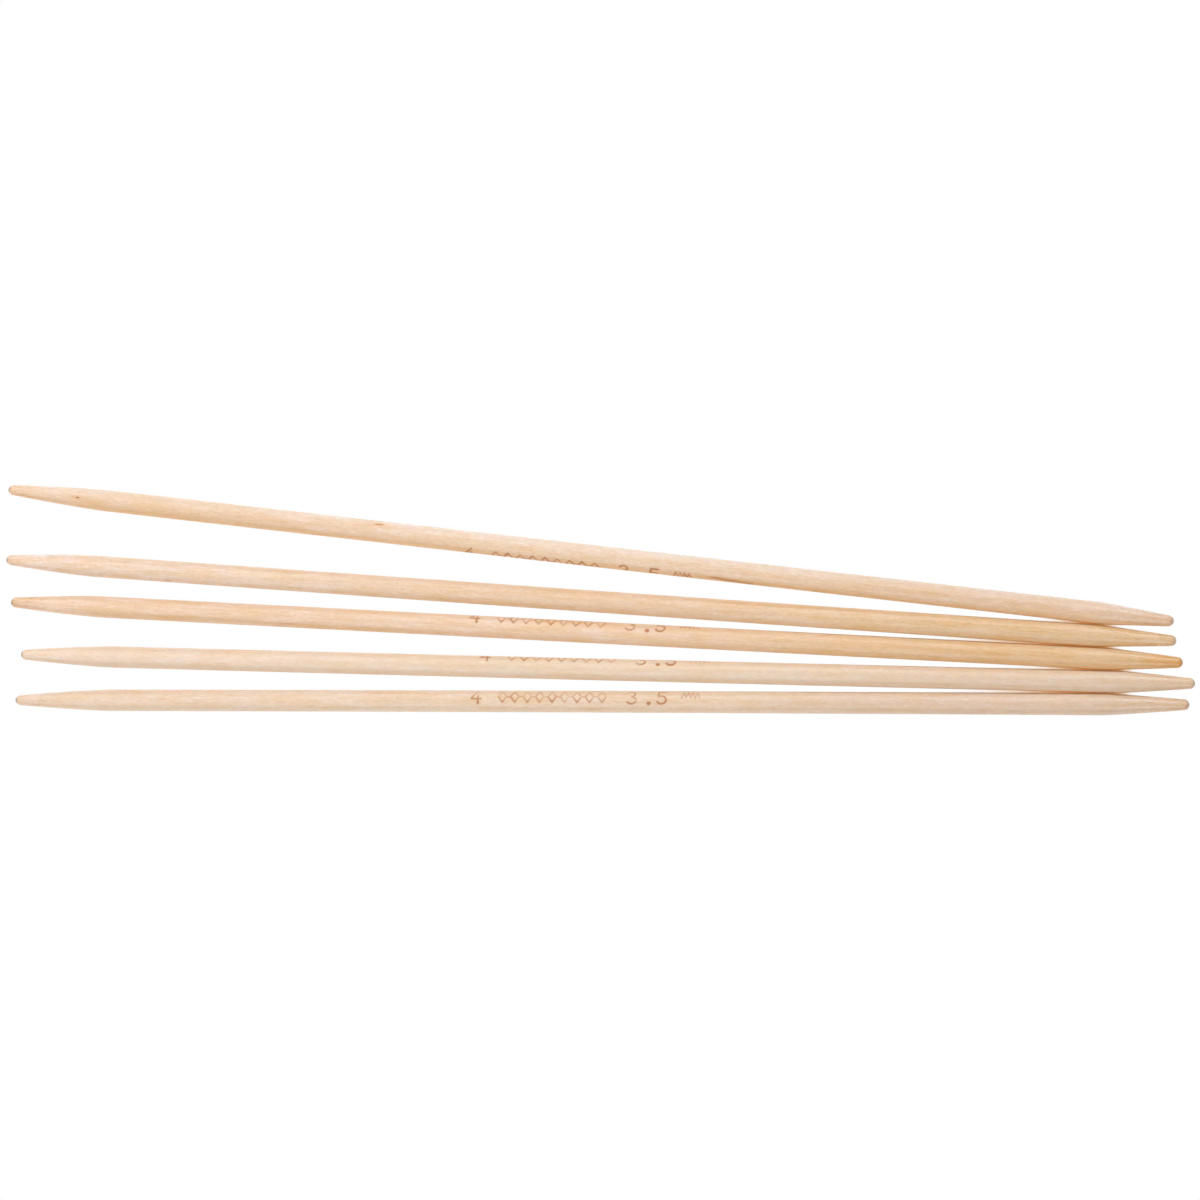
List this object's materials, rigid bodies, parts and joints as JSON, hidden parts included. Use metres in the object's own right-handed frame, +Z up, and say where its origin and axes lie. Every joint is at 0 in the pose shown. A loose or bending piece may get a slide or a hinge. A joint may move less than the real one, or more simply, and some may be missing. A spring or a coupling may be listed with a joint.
{
  "type": "double-pointed knitting needle set",
  "caption": "Slender round birch knitting needles with a blunt turned point at both ends, laid out as a loose fan with their shafts side by side at one end.",
  "frame": {"origin": "the middle of the footprint of the whole set, on the surface it lies on", "axes": "+X along the needles towards the ends where they lie side by side, +Y towards needle_1, +Z up"},
  "size_m": [0.193, 0.0372, 0.0035],
  "materials": {
    "birch_1": "pale pinkish birch, sanded and waxed to a soft satin",
    "birch_2": "warm tan birch, sanded and waxed to a soft satin",
    "birch_3": "warm tan birch, sanded and waxed to a soft satin",
    "birch_4": "pale birch, sanded and waxed to a soft satin",
    "birch_5": "pale cream birch, sanded and waxed to a soft satin"
  },
  "bodies": {
    "needle_3": {"needle_3": "birch_3"},
    "needle_1": {"needle_1": "birch_1"},
    "needle_2": {"needle_2": "birch_2"},
    "needle_4": {"needle_4": "birch_4"},
    "needle_5": {"needle_5": "birch_5"}
  },
  "joints": [
    {"name": "needle_1_lift", "type": "slide", "parent": "needle_3", "child": "needle_1", "axis": [0, 0, 1], "range_m": [0, 0.05]},
    {"name": "needle_2_lift", "type": "slide", "parent": "needle_3", "child": "needle_2", "axis": [0, 0, 1], "range_m": [0, 0.05]},
    {"name": "needle_4_lift", "type": "slide", "parent": "needle_3", "child": "needle_4", "axis": [0, 0, 1], "range_m": [0, 0.05]},
    {"name": "needle_5_lift", "type": "slide", "parent": "needle_3", "child": "needle_5", "axis": [0, 0, 1], "range_m": [0, 0.05]}
  ]
}
